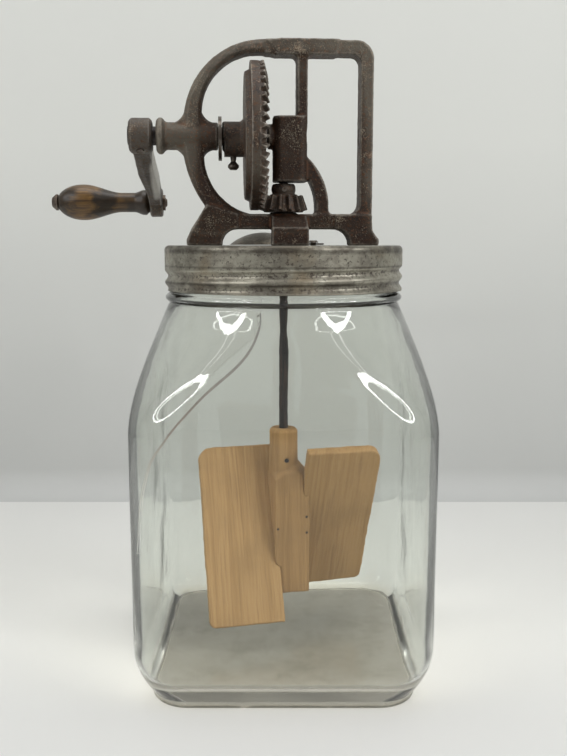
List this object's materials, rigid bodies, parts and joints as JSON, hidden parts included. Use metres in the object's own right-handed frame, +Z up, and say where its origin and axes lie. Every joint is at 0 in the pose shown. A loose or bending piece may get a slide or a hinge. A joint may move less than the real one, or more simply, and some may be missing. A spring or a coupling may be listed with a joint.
{
  "type": "glass jar butter churn",
  "caption": "Hand-cranked butter churn: a square glass jar with a screwed tin lid, a cast gear frame, bevel gears, a wooden crank handle and a wooden paddle dasher.",
  "frame": {"origin": "centre of the jar's flat base, on the table", "axes": "+Z up along the dasher's axis, +X to the right as seen in the picture, with the crank on the -X side, and +Y away from the viewer"},
  "size_m": [0.2136, 0.1524, 0.3323],
  "materials": {
    "jar_glass": "clear pressed glass",
    "gasket_rubber": "dull",
    "lid_tin": "worn grey tinplate",
    "cover_tin": "worn tinplate",
    "frame_iron": "rusty cast iron with rubbed edges",
    "gear_iron": "rusty cast iron",
    "crank_iron": "rubbed cast iron",
    "small_steel": "dull, lightly rusted",
    "rod_steel": "dark, rusted",
    "grip_wood": "dark stain, worn",
    "dasher_wood": "raw"
  },
  "bodies": {
    "jar": {"glass_jar": "jar_glass"},
    "seal": {"rim_gasket": "gasket_rubber"},
    "top": {"lid_cap": "lid_tin", "shaft_ferrule": "small_steel", "gear_frame": "frame_iron", "frame_screws": "small_steel", "thrust_washer": "small_steel", "vent_screen": "cover_tin", "vent_rivet": "small_steel"},
    "crank": {"crank_shaft": "small_steel", "drive_gear": "gear_iron", "gear_set_screw": "small_steel", "crank_arm": "crank_iron", "crank_pin": "small_steel", "handle_rivet": "small_steel", "handle_burr": "small_steel"},
    "grip": {"wood_grip": "grip_wood"},
    "dasher": {"bevel_pinion": "gear_iron", "pinion_pin": "small_steel", "dasher_rod": "rod_steel", "dasher_hub": "dasher_wood", "hub_pin": "small_steel", "left_paddle": "dasher_wood", "right_paddle": "dasher_wood", "paddle_nails": "small_steel"},
    "vent": {"vent_cover": "cover_tin"}
  },
  "joints": [
    {"name": "gasket_rise", "type": "slide", "parent": "jar", "child": "seal", "axis": [0, 0, 1], "range_m": [0, 0.0067]},
    {"name": "lid_turn", "type": "hinge", "parent": "seal", "child": "top", "pos_m": [0, 0, 0.225], "axis": [0, 0, 1], "range_deg": [0, 360]},
    {"name": "crank_turn", "type": "hinge", "parent": "top", "child": "crank", "pos_m": [0, 0, 0.28402], "axis": [0.9976, 0.0698, 0], "continuous": true},
    {"name": "grip_spin", "type": "hinge", "parent": "crank", "child": "grip", "pos_m": [-0.10437, 0.05902, 0.25317], "axis": [0.9976, 0.0698, 0], "continuous": true},
    {"name": "dasher_spin", "type": "hinge", "parent": "top", "child": "dasher", "pos_m": [0, 0, 0.254], "axis": [0, 0, 1], "continuous": true},
    {"name": "vent_swing", "type": "hinge", "parent": "top", "child": "vent", "pos_m": [0.01702, 0.03327, 0.2279], "axis": [0, 0, 1], "range_deg": [-80, 0]}
  ],
  "couplings": [
    {"joint": "gasket_rise", "follows": "lid_turn", "m_per_rad": 0.0010504},
    {"joint": "dasher_spin", "follows": "crank_turn", "ratio": -3.2143}
  ]
}
